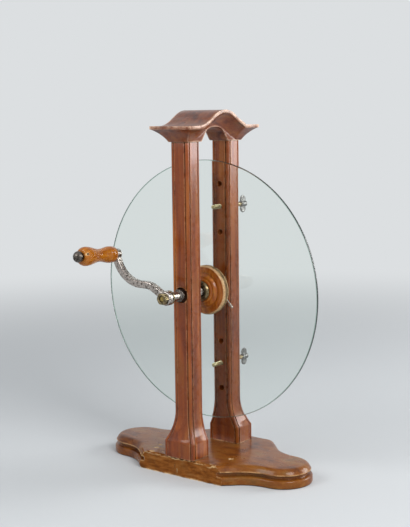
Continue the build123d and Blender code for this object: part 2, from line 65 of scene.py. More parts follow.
# The CAD part's own sizes, which the pieces here follow
BASE_TOP = 32.4
SEAT_Z = 569.5
AXLE_Z = 312.9
POST_IN = 39.8
POST_OUT = 73.4
POST_Y = 56.6
DISC_RADIUS = 225.0
GLASS_HALF = 2.5
HUB_FACE = 3.5
BOSS_FACE = 17.5
ARM_BACK = 106.1
ARM_FRONT = 117.6
CRANK_REACH = 108.95
CRANK_RISE = 67.3
GRIP_TILT = radians(3.0)
GRIP_START = 2.96
GRIP_LENGTH = 79.0
# The missing cushions' middles are this far above and below the axle; a screw sits a little above
# each middle, with a guide bore above it and one below
CUSHION_OFFSET = 139.2
SCREW_RISE = 2.8
GUIDE_RISE = 42.2
SCREWS = {"upper": AXLE_Z + CUSHION_OFFSET + SCREW_RISE, "lower": AXLE_Z - CUSHION_OFFSET + SCREW_RISE}
GUIDES = [AXLE_Z + side * CUSHION_OFFSET + rise for side in (-1, 1) for rise in (-GUIDE_RISE, GUIDE_RISE)]
WINGS_Y = 108.8
WINGS_HALF = 7.0
# Bore radii of what sits on the axle's middle, its journals and its ends, and on the grip's spindle
WHEEL_BORE = 9.05
JOURNAL_BORE = 8.05
END_BORE = 5.05
GRIP_BORE = 4.55
# Points nearer than this are merged, in metres
MERGE = 2e-6


def metres(*sizes):
    """A place or a size in millimetres, in metres."""
    return Vector(sizes) * MM


# Camera, at the photograph's angle

FOCAL_PIXELS = 1145.3
PHOTO_HEIGHT = 527
SENSOR = 36


def stand_camera():
    """The photographer's place: in front of the crank side, to the right and a little above."""
    turn, roll = radians(37.7), radians(-0.72)
    back = Vector((0.60628, -0.78446, 0.13055))
    level = Vector((cos(turn), sin(turn), 0))
    upright = back.cross(level)
    right = cos(roll) * level + sin(roll) * upright
    up = -sin(roll) * level + cos(roll) * upright
    camera = bpy.data.objects.new("camera", bpy.data.cameras.new("camera"))
    bpy.context.scene.collection.objects.link(camera)
    place = Matrix((right, up, back)).transposed().to_4x4()
    place.translation = Vector((1.1984, -1.5567, 0.6173))
    camera.matrix_world = place
    camera.data.sensor_width = SENSOR
    camera.data.lens = FOCAL_PIXELS * SENSOR / PHOTO_HEIGHT
    bpy.context.scene.camera = camera


stand_camera()


# Shader helpers

TIMES = {"operation": "MULTIPLY"}
TIMES_PLUS = {"operation": "MULTIPLY_ADD"}
LARGER = {"operation": "MAXIMUM"}
COLOURS = {"data_type": "RGBA"}


def colour(code):
    """An sRGB hex colour as linear values."""
    channels = [int(code[i:i + 2], 16) / 255 for i in (1, 3, 5)]
    return (*(c / 12.92 if c <= 0.04045 else ((c + 0.055) / 1.055) ** 2.4 for c in channels), 1.0)


def put(tree, kind, settings=None, out=0, **inputs):
    """Adds a node and returns one of its outputs, or the node itself where out is None. A socket
    is named as in Blender with _ for a space, or i0, i1 by its number; its input is another node's
    output, a colour code or a plain value. Stops are a ramp's."""
    node = tree.nodes.new("ShaderNode" + kind)
    for name, value in (settings or {}).items():
        if name == "stops":
            elements = node.color_ramp.elements
            while len(elements) < len(value):
                elements.new(0.5)
            for element, (place, code) in zip(elements, value):
                element.position, element.color = place, colour(code)
        else:
            setattr(node, name, value)
    for name, value in inputs.items():
        key = int(name[1:]) if name[0] == "i" and name[1:].isdigit() else name.replace("_", " ")
        if isinstance(value, bpy.types.NodeSocket):
            tree.links.new(value, node.inputs[key])
        else:
            node.inputs[key].default_value = colour(value) if isinstance(value, str) else value
    return node if out is None else node.outputs[out]


def new_material(name, **constants):
    """A material with its shader; constants are set on the shader's own sockets."""
    material = bpy.data.materials.new(name)
    material.use_nodes = True
    shader = material.node_tree.nodes["Principled BSDF"]
    for socket, value in constants.items():
        value = colour(value) if isinstance(value, str) else value
        shader.inputs[socket.replace("_", " ")].default_value = value
    return material, material.node_tree, shader


def wire(tree, shader, tone, rough, bump):
    """Joins a material's patterns to its shader; a tone that is None stays the shader's own."""
    if tone is not None:
        tree.links.new(tone, shader.inputs["Base Color"])
    tree.links.new(rough, shader.inputs["Roughness"])
    tree.links.new(bump, shader.inputs["Normal"])


def per(size):
    """The scale of a pattern whose features are this many millimetres, on metre coordinates."""
    return 1 / (size * MM)


def varnished_wood(name, grain, stops, stain, pore_and_shade, worn, streak=7.0, length=240.0, rough=(0.3, 0.5),
                   coat=0.12, edge_wear=0.6, wear_width=2.6, blotch=0.5, painted_shade_reach=3.0, cloud=85.0,
                   pore_depth=0.4, specular=0.22, knock=0.5, texture=0.6, figured=0.42):
    """Old shellacked hardwood: grain streaks and short dark pores run along one axis (0, 1 or 2), the
    corners get a painted shade, the polish has gone from the edges, and stains cloud it."""
    material, tree, shader = new_material(name, Coat_Weight=coat, Coat_Roughness=0.16, IOR=1.45,
                                          Specular_IOR_Level=specular)
    place = put(tree, "TexCoord", out="Object")

    def fibres(width, run, detail, roughness, distortion=0.0):
        """Noise drawn out along the grain: streaks of a width and a length in millimetres."""
        scale = [per(width)] * 3
        scale[grain] = per(run)
        drawn = put(tree, "Mapping", Vector=place, Scale=scale)
        return put(tree, "TexNoise", Vector=drawn, Scale=1.0, Detail=detail, Roughness=roughness,
                   Distortion=distortion)

    # Streaks, finer threads between them and wide clouds make the figure together
    figure = fibres(streak, length, 2.0, 0.5, 0.15)
    thread = fibres(streak / 5, length / 4, 2.0, 0.5)
    clouds = fibres(cloud, cloud * 1.6, 4.0, 0.55, 0.4)
    share = put(tree, "Math", TIMES, i0=thread, i1=0.13)
    share = put(tree, "Math", TIMES_PLUS, i0=figure, i1=figured, i2=share)
    share = put(tree, "Math", TIMES_PLUS, i0=clouds, i1=0.87 - figured, i2=share)
    wood = put(tree, "ValToRGB", {"stops": stops}, Fac=share)
    # Pores are 0.5 mm wide and 7 mm long, which shows only from near
    open_pores = put(tree, "MapRange", Value=fibres(0.5, 7.0, 2.0, 0.5), From_Min=0.58, From_Max=0.72)
    share = put(tree, "Math", TIMES, i0=open_pores, i1=pore_depth)
    wood = put(tree, "Mix", COLOURS, 2, i0=share, i6=wood, i7=pore_and_shade)
    share = put(tree, "MapRange", Value=clouds, From_Min=0.47, From_Max=0.72, To_Max=blotch)
    wood = put(tree, "Mix", COLOURS, 2, i0=share, i6=wood, i7=stain)
    # Painted shade in the corners, drawn in the pore colour where an occlusion test finds them, and bare
    # pale wood where edges have rubbed
    corner = put(tree, "AmbientOcclusion", {"samples": 8}, "AO", Distance=painted_shade_reach * MM)
    share = put(tree, "MapRange", Value=corner, From_Min=0.4, From_Max=0.85, To_Min=0.92, To_Max=0.0)
    wood = put(tree, "Mix", COLOURS, 2, i0=share, i6=wood, i7=pore_and_shade)
    ridge = put(tree, "AmbientOcclusion", {"samples": 8, "inside": True}, "AO", Distance=wear_width * MM)
    edge = put(tree, "MapRange", Value=ridge, From_Min=0.52, From_Max=0.86, To_Min=1.0, To_Max=0.0)
    scuffs = put(tree, "TexNoise", Vector=place, Scale=per(13.0), Detail=5.0, Roughness=0.65)
    share = put(tree, "MapRange", Value=scuffs, From_Min=0.38, From_Max=0.56, To_Min=0.12, To_Max=edge_wear)
    rubbed = put(tree, "Math", TIMES, i0=edge, i1=share)
    wood = put(tree, "Mix", COLOURS, 2, i0=rubbed, i6=wood, i7=worn)
    # Small knocks and scratches along the grain, a few per square decimetre
    knocks = put(tree, "MapRange", Value=fibres(1.7, 11.0, 3.0, 0.6, 0.8), From_Min=0.7, From_Max=0.76,
                 To_Max=knock)
    wood = put(tree, "Mix", COLOURS, 2, i0=knocks, i6=wood, i7=worn)
    gloss = put(tree, "MapRange", Value=scuffs, From_Min=0.3, From_Max=0.7, To_Min=rough[0],
                To_Max=rough[1])
    gloss = put(tree, "Math", TIMES_PLUS, i0=rubbed, i1=0.2, i2=gloss)
    height = put(tree, "Math", TIMES, i0=thread, i1=0.5)
    height = put(tree, "Math", TIMES_PLUS, i0=open_pores, i1=-0.3, i2=height)
    height = put(tree, "Math", TIMES_PLUS, i0=scuffs, i1=texture, i2=height)
    wire(tree, shader, wood, gloss, put(tree, "Bump", Strength=0.3, Distance=0.25 * MM, Height=height))
    return material


def aged_metal(name, base, tarnish, bright, rough=(0.22, 0.5), grain=1.6, pit=0.0, spots=5.0,
               cover=(0.42, 0.6)):
    """Old bare metal: tarnish in patches, bright where fingers or tools have rubbed, small pits."""
    material, tree, shader = new_material(name, Metallic=1.0)
    place = put(tree, "TexCoord", out="Object")
    patches = put(tree, "TexNoise", Vector=place, Scale=per(spots), Detail=6.0, Roughness=0.68,
                  Distortion=0.4)
    share = put(tree, "MapRange", Value=patches, From_Min=cover[0], From_Max=cover[1])
    tone = put(tree, "Mix", COLOURS, 2, i0=share, i6=base, i7=tarnish)
    ridge = put(tree, "AmbientOcclusion", {"samples": 6, "inside": True}, "AO", Distance=1.0 * MM)
    share = put(tree, "MapRange", Value=ridge, From_Min=0.5, From_Max=0.9, To_Min=0.8, To_Max=0.0)
    tone = put(tree, "Mix", COLOURS, 2, i0=share, i6=tone, i7=bright)
    # Painted shade: corners and hollows darkened nearly to black where an occlusion test finds them
    corner = put(tree, "AmbientOcclusion", {"samples": 6}, "AO", Distance=2.0 * MM)
    share = put(tree, "MapRange", Value=corner, From_Min=0.3, From_Max=0.8, To_Min=0.75, To_Max=0.0)
    tone = put(tree, "Mix", COLOURS, 2, i0=share, i6=tone, i7="#14100c")
    gloss = put(tree, "MapRange", Value=patches, From_Min=cover[0], From_Max=cover[1], To_Min=rough[0],
                To_Max=rough[1])
    texture = put(tree, "TexNoise", Vector=place, Scale=per(grain), Detail=4.0, Roughness=0.6)
    cups = put(tree, "MapRange", Value=texture, From_Min=0.36, From_Max=0.5)
    wire(tree, shader, tone, gloss, put(tree, "Bump", Strength=0.25 + pit, Distance=0.2 * MM, Height=cups))
    return material


# Mahogany, planed and shellacked: red-brown, a deep gloss, rubbed pale along the beads
post_mahogany = varnished_wood(
    "shellacked_mahogany", 2,
    [(0.38, "#5e2507"), (0.46, "#7c370e"), (0.53, "#934714"), (0.62, "#ae6322")],
    "#481803", "#1a0702", "#dea878", streak=9.0, rough=(0.22, 0.36), coat=0.42, edge_wear=0.85,
    cloud=60.0, blotch=0.55)
# The cap's mahogany is more worn: its edges are rubbed nearly bare
cap_mahogany = varnished_wood(
    "worn_cap_mahogany", 1,
    [(0.38, "#4c1f0c"), (0.46, "#6d3418"), (0.53, "#854624"), (0.62, "#a8652f")],
    "#3c170a", "#1c0a04", "#ecc6aa", streak=9.0, length=40.0, rough=(0.26, 0.42), coat=0.4, blotch=0.8,
    cloud=20.0, edge_wear=1.0, wear_width=5.0, knock=0.8, figured=0.2)
# Walnut board, waxed: golden brown, darkened in clouds by old wax
base_walnut = varnished_wood(
    "waxed_walnut", 0,
    [(0.38, "#5c2d0a"), (0.46, "#7a420f"), (0.53, "#8e5319"), (0.63, "#b07832")],
    "#43200b", "#1b0c04", "#dcae78", streak=12.0, length=44.0, rough=(0.24, 0.42), coat=0.34, specular=0.15,
    blotch=0.75, cloud=30.0, edge_wear=0.9, wear_width=2.6, figured=0.16)
# The same walnut where the moulding broke away: raw, matt and splintered along the grain
raw_walnut = varnished_wood(
    "broken_raw_walnut", 0,
    [(0.38, "#6a3a10"), (0.46, "#834b1b"), (0.53, "#945a26"), (0.63, "#b07a44")],
    "#4a2a0e", "#1d0e06", "#e2c08c", streak=5.0, length=26.0, rough=(0.6, 0.8), coat=0.0, blotch=0.55,
    cloud=18.0, edge_wear=1.0, wear_width=3.2, specular=0.1)
# Pale fresh wood in the small chips and along the rubbed rims
bare_wood = varnished_wood(
    "pale_bare_wood", 0,
    [(0.38, "#a27a50"), (0.46, "#bc9569"), (0.53, "#cfab80"), (0.63, "#e4c9a2")],
    "#94693d", "#4a3018", "#ecd6b2", streak=3.0, length=20.0, rough=(0.6, 0.8), coat=0.0, blotch=0.4,
    cloud=14.0, specular=0.1, painted_shade_reach=1.0)
# Turned hub wood: orange-brown fruitwood, polished in the lathe
hub_fruitwood = varnished_wood(
    "turned_fruitwood", 2,
    [(0.38, "#7c3c0c"), (0.46, "#974f15"), (0.53, "#a85f1e"), (0.62, "#c07a31")],
    "#60300f", "#1f0e05", "#e2bd8e", streak=5.0, length=18.0, rough=(0.24, 0.4), coat=0.35, blotch=0.55,
    cloud=14.0, edge_wear=1.0, wear_width=2.8)
# Bush wood: dark, matt and close-grained
bush_wood = varnished_wood(
    "dark_bush_wood", 1,
    [(0.38, "#2a150c"), (0.5, "#4a2815"), (0.62, "#5f3821")],
    "#1c0d07", "#120804", "#7a5438", streak=1.4, length=14.0, rough=(0.45, 0.6), coat=0.0)
# Boxwood grip: orange, polished by hands
grip_boxwood = varnished_wood(
    "handled_boxwood", 1,
    [(0.38, "#96500c"), (0.46, "#a95f12"), (0.53, "#b66c18"), (0.62, "#c9822a")],
    "#7d4410", "#3c1f0a", "#eec890", streak=3.0, length=30.0, rough=(0.2, 0.32), coat=0.4, blotch=0.5,
    cloud=16.0, pore_depth=0.2, knock=0.25, texture=0.3, edge_wear=0.8)

# Forged iron: grey and pitted, bright on the high places
forged_iron = aged_metal("forged_iron", "#b3aaa3", "#4a423b", "#ece7e1", rough=(0.22, 0.5), grain=2.4,
                         pit=0.6, spots=3.4, cover=(0.49, 0.62))
# Bright turned steel, and a darker steel with oil on it
turned_steel = aged_metal("turned_steel", "#c4bcb4", "#746a61", "#ece7e0", rough=(0.18, 0.4), spots=6.0,
                          cover=(0.48, 0.62))
dark_steel = aged_metal("oiled_steel", "#6d6660", "#3c352f", "#a8a29b", rough=(0.3, 0.5))
# Old brass, and a duller kind
aged_brass = aged_metal("aged_brass", "#b39a5e", "#695c34", "#e6d69e", rough=(0.2, 0.4), spots=4.0)
dull_brass = aged_metal("dull_brass", "#958463", "#574c38", "#cbbd96", rough=(0.28, 0.46), spots=5.0)
# Brass screw stock, rubbed bright by the fingers
rod_brass = aged_metal("rubbed_brass_rod", "#cdbd8c", "#8a7a52", "#efe4bd", rough=(0.2, 0.36), spots=3.0)
# Cast white metal, gone dull grey
cast_alloy = aged_metal("dull_cast_alloy", "#8b8987", "#5b5957", "#cfcdca", rough=(0.3, 0.5), spots=3.0,
                        pit=0.2)


def washer_leather():
    """Oak-tanned leather, cut from sheet: matt, buff, with a fine pebble and a dusty cut edge."""
    material, tree, shader = new_material("oak_tanned_leather")
    place = put(tree, "TexCoord", out="Object")
    pebble = put(tree, "TexVoronoi", {"feature": "SMOOTH_F1"}, "Distance", Vector=place, Scale=per(0.9))
    clouds = put(tree, "TexNoise", Vector=place, Scale=per(8.0), Detail=5.0)
    tone = put(tree, "ValToRGB", {"stops": [(0.35, "#7c6142"), (0.5, "#a58a64"), (0.65, "#c9b18a")]},
               Fac=clouds)
    matt = put(tree, "MapRange", Value=clouds, From_Min=0.3, From_Max=0.7, To_Min=0.65, To_Max=0.9)
    wire(tree, shader, tone, matt, put(tree, "Bump", Strength=0.5, Distance=0.15 * MM, Height=pebble))
    return material


def plate_glass(name, tint, roughness):
    """Old plate glass: clear, a little green, with dust and rubbing marks that only haze it."""
    material, tree, shader = new_material(name, Base_Color=tint, Transmission_Weight=1.0, IOR=1.5)
    place = put(tree, "TexCoord", out="Object")
    dust = put(tree, "TexNoise", Vector=place, Scale=per(38.0), Detail=7.0, Roughness=0.7)
    haze = put(tree, "MapRange", Value=dust, From_Min=0.5, From_Max=0.8, To_Min=roughness,
               To_Max=roughness + 0.05)
    ripple = put(tree, "TexNoise", Vector=place, Scale=per(120.0), Detail=1.0)
    wire(tree, shader, None, haze, put(tree, "Bump", Strength=0.05, Distance=0.4 * MM, Height=ripple))
    return material


leather = washer_leather()
glass_face = plate_glass("plate_glass", "#f5faf7", 0.0)
glass_rim = plate_glass("ground_glass_rim", "#8fb0a0", 0.25)


# Modelling helpers

def clear_choice():
    """Object mode with nothing selected, because the loaded nodes come in selected."""
    if bpy.context.mode != "OBJECT":
        bpy.ops.object.mode_set(mode="OBJECT")
    bpy.ops.object.select_all(action="DESELECT")


def take(piece):
    """Makes one piece the only one selected, and active."""
    clear_choice()
    piece.select_set(True)
    bpy.context.view_layer.objects.active = piece


def settle(piece, name):
    """A new primitive gets its name, and its place goes into its mesh."""
    piece.name = name
    piece.data.name = name
    take(piece)
    bpy.ops.object.transform_apply(location=True, rotation=True, scale=True)
    return piece


def choose(piece, kind, test):
    """Selects the vertices, edges or faces, in edit mode, that pass a test in millimetres."""
    bpy.ops.mesh.select_mode(type=kind)
    bpy.ops.mesh.select_all(action="DESELECT")
    mesh = bmesh.from_edit_mesh(piece.data)
    if kind == "VERT":
        for vert in mesh.verts:
            vert.select = bool(test(vert.co / MM))
    elif kind == "EDGE":
        for edge in mesh.edges:
            edge.select = bool(test(edge.verts[0].co / MM, edge.verts[1].co / MM))
    else:
        for face in mesh.faces:
            face.select = bool(test(face.calc_center_median() / MM, face.normal))
    mesh.select_flush_mode()
    bmesh.update_edit_mesh(piece.data)


def change(piece, kind, **settings):
    """Adds a modifier and applies it."""
    take(piece)
    modifier = piece.modifiers.new(kind.lower(), kind)
    for name, value in settings.items():
        setattr(modifier, name, value)
    bpy.ops.object.modifier_apply(modifier=modifier.name)
    return piece


def soften(piece, width, segments=2, angle=35):
    """Rounds the edges that are sharper than an angle, in millimetres and degrees."""
    return change(piece, "BEVEL", width=width * MM, segments=segments, limit_method="ANGLE",
                  angle_limit=radians(angle), use_clamp_overlap=True, harden_normals=False)


def cut_away(piece, *tools, operation="DIFFERENCE"):
    """Cuts tools out of a piece, or joins them to it, and removes the tools."""
    for tool in tools:
        change(piece, "BOOLEAN", operation=operation, object=tool, solver="EXACT")
        bpy.data.objects.remove(tool)
    return piece


def point_at(name, place):
    """A mesh of a single point, to draw a profile from, left in edit mode with it selected."""
    clear_choice()
    bpy.ops.mesh.primitive_plane_add(size=MM)
    piece = settle(bpy.context.object, name)
    bpy.ops.object.mode_set(mode="EDIT")
    bpy.ops.mesh.select_mode(type="VERT")
    bpy.ops.mesh.select_all(action="SELECT")
    bpy.ops.mesh.merge(type="CENTER")
    bpy.ops.transform.translate(value=place)
    return piece


def draw_on(steps):
    """Extrudes the selected point along a line of steps, each a vector in metres."""
    for step in steps:
        bpy.ops.mesh.extrude_region_move(TRANSFORM_OT_translate={"value": step})


def close_mesh():
    """Merges doubles, and turns every face outward."""
    bpy.ops.mesh.select_all(action="SELECT")
    bpy.ops.mesh.remove_doubles(threshold=MERGE)
    bpy.ops.mesh.normals_make_consistent(inside=False)
    bpy.ops.object.mode_set(mode="OBJECT")


def turned(name, start, direction, profile, steps=96):
    """Spins a profile, of (distance along the axis, radius), into a closed solid."""
    along = Vector(direction).normalized()
    side = along.orthogonal().normalized()
    start = Vector(start) * MM
    points = [start + (along * far + side * radius) * MM for far, radius in profile]
    piece = point_at(name, points[0])
    draw_on([after - before for before, after in zip(points, points[1:])])
    bpy.ops.mesh.select_all(action="SELECT")
    bpy.ops.mesh.spin(steps=steps, angle=2 * pi, center=start, axis=along)
    close_mesh()
    return piece


def rod(name, start, direction, radius, length, steps=48):
    """A plain rod with broken corners, to cut bores with."""
    corner = min(0.3, radius / 6)
    return turned(name, start, direction,
                  [(0, 0), (0, radius - corner), (corner, radius), (length - corner, radius),
                   (length, radius - corner), (length, 0)], steps)


def block(name, low, high):
    """A box between two corners, to cut with or to join on."""
    clear_choice()
    low, high = Vector(low) * MM, Vector(high) * MM
    bpy.ops.mesh.primitive_cube_add(size=1, location=(low + high) / 2, scale=high - low)
    return settle(bpy.context.object, name)


def merged_copy(node, name):
    """A copy of a CAD node's mesh with its loose triangles merged, to work on."""
    piece = frame["nodes"][node].copy()
    piece.data = piece.data.copy()
    for key in list(piece.keys()):
        del piece[key]
    piece.parent = None
    bpy.context.scene.collection.objects.link(piece)
    piece.name = piece.data.name = name
    piece.data.materials.clear()
    take(piece)
    bpy.ops.object.mode_set(mode="EDIT")
    bpy.ops.mesh.select_all(action="SELECT")
    bpy.ops.mesh.remove_doubles(threshold=MERGE)
    bpy.ops.mesh.customdata_custom_splitnormals_clear()
    bpy.ops.mesh.dissolve_limited(angle_limit=radians(0.4))
    bpy.ops.object.mode_set(mode="OBJECT")
    return piece


def mount(piece, body, slot, material, *nodes, angle=32):
    """Gives a finished piece its shading, material and body, and hides the nodes it stands for; slot is not
    used.
    """
    take(piece)
    bpy.ops.object.shade_smooth_by_angle(angle=radians(angle))
    if material is not None:
        piece.data.materials.clear()
        piece.data.materials.append(material)
    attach(piece, body)
    if nodes:
        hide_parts(*nodes)
    return piece


# Base board: one moulding profile swept round the outline, then the crank side broken off

END_X, END_RADIUS = 156.0, 50.0
NECK_Y, NECK_RADIUS = 122.0, 72.0
SHOULDER_Y, SHOULDER_RADIUS = 80.0, 28.0
SHOULDER_X = 56.6
BROKEN_Y = -86.3
# (distance in from the outline, height), from the underside to the top
MOULDING = [
    (2.4, 0.0), (0.9, 0.6), (0.15, 1.8), (0.0, 3.2), (0.0, 7.0), (0.0, 10.6), (0.35, 12.3),
    (1.3, 13.6), (2.8, 14.4), (4.6, 14.6), (7.6, 14.7), (8.0, 15.2), (8.0, 20.9), (7.6, 21.3),
    (3.2, 21.5), (2.6, 21.9), (2.5, 23.0), (3.0, 23.5), (3.7, 24.4), (4.8, 26.6), (6.2, 28.7),
    (7.9, 30.4), (9.8, 31.6), (12.2, 32.25), (14.5, 32.4),
]


def base_outline_sweep():
    """Spins the moulding profile round a lobe, back round the neck and round the shoulder.
    The spin operator turns clockwise about +Z."""
    piece = point_at("waisted_base_board", metres(END_X + END_RADIUS - MOULDING[0][0], 0, MOULDING[0][1]))
    draw_on([metres(before[0] - after[0], 0, after[1] - before[1])
             for before, after in zip(MOULDING, MOULDING[1:])])
    bpy.ops.mesh.select_all(action="SELECT")
    slope = radians(45)
    bpy.ops.mesh.spin(steps=28, angle=-pi / 2, center=metres(END_X, 0, 0), axis=(0, 0, 1))
    bpy.ops.mesh.spin(steps=14, angle=slope, center=metres(END_X, NECK_Y, 0), axis=(0, 0, 1))
    neck_end = (END_X - NECK_RADIUS * sin(slope), NECK_Y - NECK_RADIUS * cos(slope))
    shoulder_start = (SHOULDER_X + SHOULDER_RADIUS * sin(slope), SHOULDER_Y + SHOULDER_RADIUS * cos(slope))
    bpy.ops.mesh.extrude_region_move(TRANSFORM_OT_translate={
        "value": metres(shoulder_start[0] - neck_end[0], shoulder_start[1] - neck_end[1], 0)})
    bpy.ops.mesh.spin(steps=14, angle=-slope, center=metres(SHOULDER_X, SHOULDER_Y, 0), axis=(0, 0, 1))
    for _ in range(6):
        bpy.ops.mesh.extrude_region_move(TRANSFORM_OT_translate={"value": metres(-SHOULDER_X / 6, 0, 0)})
    return piece


def base_board():
    """The swept quarter mirrored to the whole board, with its top and underside closed."""
    piece = base_outline_sweep()
    for flip in ((-1, 1, 1), (1, -1, 1)):
        bpy.ops.mesh.select_all(action="SELECT")
        bpy.ops.mesh.duplicate()
        bpy.ops.transform.resize(value=flip, center_override=(0, 0, 0))
        bpy.ops.mesh.select_all(action="SELECT")
        bpy.ops.mesh.remove_doubles(threshold=MERGE)
    for height in (MOULDING[0][1], MOULDING[-1][1]):
        choose(piece, "EDGE", lambda a, b: abs(a.z - height) < 0.01 and abs(b.z - height) < 0.01)
        bpy.ops.mesh.edge_face_add()
    close_mesh()
    return piece


def break_face(piece):
    """Cuts the board off at the crank side, and roughs the face as wood that has split."""
    take(piece)
    bpy.ops.object.mode_set(mode="EDIT")
    bpy.ops.mesh.select_all(action="SELECT")
    bpy.ops.mesh.bisect(plane_co=metres(0, BROKEN_Y, 0), plane_no=(0, 1, 0), clear_inner=True,
                        use_fill=True)
    broken = lambda middle, normal: middle.y < BROKEN_Y + 0.05
    lip = lambda middle, normal: middle.z > BASE_TOP - 0.1 and normal.z > 0.9
    cuts = [(lip, (0, BROKEN_Y + 3.3, 0), (0, 1, 0)), (lip, (0, BROKEN_Y + 6.2, 0), (0, 1, 0))]
    strip = lambda middle, normal: broken(middle, normal) or (
        middle.y < BROKEN_Y + 6.1 and lip(middle, normal))
    cuts += [(strip, (2.0 * step, 0, 0), (1, 0, 0)) for step in range(-47, 48)]
    cuts += [(broken, (0, 0, 2.1 * step), (0, 0, 1)) for step in range(1, 15)]
    for test, place, normal in cuts:
        choose(piece, "FACE", test)
        bpy.ops.mesh.bisect(plane_co=metres(*place), plane_no=normal)
    for name, test in (("broken", lambda v: v.y < BROKEN_Y + 0.05),
                       ("lip", lambda v: v.y < BROKEN_Y + 3.4 and v.z > BASE_TOP - 0.1)):
        choose(piece, "VERT", test)
        bpy.ops.object.vertex_group_add()
        bpy.ops.object.vertex_group_assign()
        piece.vertex_groups.active.name = name
    bpy.ops.object.mode_set(mode="OBJECT")
    for name, size, depth, contrast, group, way in (
            ("split_face", 9, 2.1, 1.6, "broken", "Y"), ("split_fibres", 2.6, 0.9, 1.5, "broken", "Y"),
            ("chipped_lip", 5, -2.4, 2.6, "lip", "Z")):
        texture = bpy.data.textures.new(name, "CLOUDS")
        texture.noise_scale, texture.noise_depth, texture.contrast = size * MM, 2, contrast
        change(piece, "DISPLACE", texture=texture, texture_coords="LOCAL", vertex_group=group,
               direction=way, strength=depth * MM, mid_level=0.0 if way == "Y" else -0.3)
    return piece


def dent(place, size, turn=0.0, lumps=1.5):
    """A lumpy pebble to knock a chip out with."""
    clear_choice()
    bpy.ops.mesh.primitive_ico_sphere_add(subdivisions=3, radius=1, location=metres(*place),
                                          rotation=(0, 0, radians(turn)), scale=metres(*size))
    pebble = settle(bpy.context.object, "chip")
    hammered(pebble, lumps, min(size) * 0.5)
    return pebble


def chip_out(piece, lining, *tools):
    """Knocks hollows out of a piece and lines them with a wood."""
    piece.data.materials.append(lining)
    for tool in tools:
        tool.data.materials.append(lining)
    for tool in tools:
        change(piece, "BOOLEAN", operation="DIFFERENCE", object=tool, solver="EXACT",
               material_mode="TRANSFER")
        bpy.data.objects.remove(tool)


def hammered(piece, size, depth):
    """Moves the surface in and out by up to half a depth, in lumps of a size, as a hammer leaves it."""
    lumps = bpy.data.textures.new(piece.name, "CLOUDS")
    lumps.noise_scale = size * MM
    lumps.noise_depth = 3
    return change(piece, "DISPLACE", texture=lumps, strength=depth * MM, mid_level=0.5,
                  texture_coords="LOCAL")


board = break_face(base_board())
board.data.materials.append(base_walnut)
cut_away(board,
         *[block("mortise", (-10.15, y - 8.15, BASE_TOP - 19.15), (10.15, y + 8.15, BASE_TOP + 1))
           for y in (-POST_Y, POST_Y)],
         *[turned("screw_hole", (0, y, 0), (0, 0, 1),
                  [(-1, 0), (-1, 6.15), (0.8, 6.15), (4.2, 3.15), (33, 3.15), (33, 0)], 32)
           for y in (-POST_Y, POST_Y)])
chip_out(board, raw_walnut,
         dent((44, -84, 33.2), (13, 3.6, 3.4), -6), dent((62, -84.5, 32.0), (8, 4.5, 4.4), 12),
         dent((-34, -87, 32.8), (9, 2.6, 2.8)), dent((8, -87.4, 33.4), (14, 2.6, 2.2), 3),
         dent((-88, -86, 29.5), (7, 4.0, 6.0), 25), dent((84, -85.5, 19), (5, 3.0, 6.0)),
         dent((-10, -86.0, 17), (0.7, 2.6, 5.5), 8), dent((-5.5, -86.0, 10.5), (0.6, 2.4, 4.5), -6))
chip_out(board, bare_wood,
         dent((-78.7, -40.6, 33.4), (4.6, 3.2, 2.2)), dent((-73.4, -58, 33.4), (5.0, 3.4, 2.2), 20),
         dent((-66, -79, 33.6), (6.5, 4.4, 2.8), -10), dent((74.8, -37.5, 33.5), (5.4, 3.8, 2.4), 30),
         dent((-47, -72, 33.3), (3.4, 2.2, 1.5), 10), dent((30, -80, 33.4), (4.6, 2.0, 1.7), -12),
         dent((205.4, 8, 25.5), (2.0, 6, 1.6)), dent((-206, -12, 13.5), (1.8, 7, 1.8)))
for face in board.data.polygons:
    if face.material_index == 0 and face.center.y / MM < BROKEN_Y + 6 and face.normal.y < -0.3:
        face.material_index = 1
mount(board, "frame", "walnut", None, "base_board")


# Posts: a section with a quirked bead on each corner, carried up in levels, wider at the foot

POST_HALF_X, POST_HALF_Y = 18.0, 16.8
FOOT_TOP, FLARE_HEIGHT = 60.4, 52.0
FLARE_SIDE, FLARE_OUT, FLARE_IN = 13.8, 12.8, -1.5
BEAD, BEAD_MIDDLE = 3.6, 3.7


def flare_share(z):
    """How far the foot has opened at this height: an arc that leaves the shaft upright."""
    arc = (FLARE_HEIGHT ** 2 + FLARE_OUT ** 2) / (2 * FLARE_OUT)
    down = min(max(FOOT_TOP + FLARE_HEIGHT - z, 0.0), FLARE_HEIGHT)
    return (arc - sqrt(arc ** 2 - down ** 2)) / FLARE_OUT


def beaded_corner():
    """One corner of the post's section, from the flat of one face to the flat of the next."""
    points = [(-7.5, 0.0), (-7.15, -0.35), (-6.95, -1.9)]
    for step in range(13):
        turn = radians(150 - step * 210 / 12)
        points.append((-BEAD_MIDDLE + BEAD * cos(turn), -BEAD_MIDDLE + BEAD * sin(turn)))
    return points + [(-1.9, -6.95), (-0.35, -7.15), (0.0, -7.5)]


def shift(piece, test, step):
    """Moves the points that pass a test by a step in millimetres."""
    choose(piece, "VERT", test)
    bpy.ops.transform.translate(value=metres(*step))


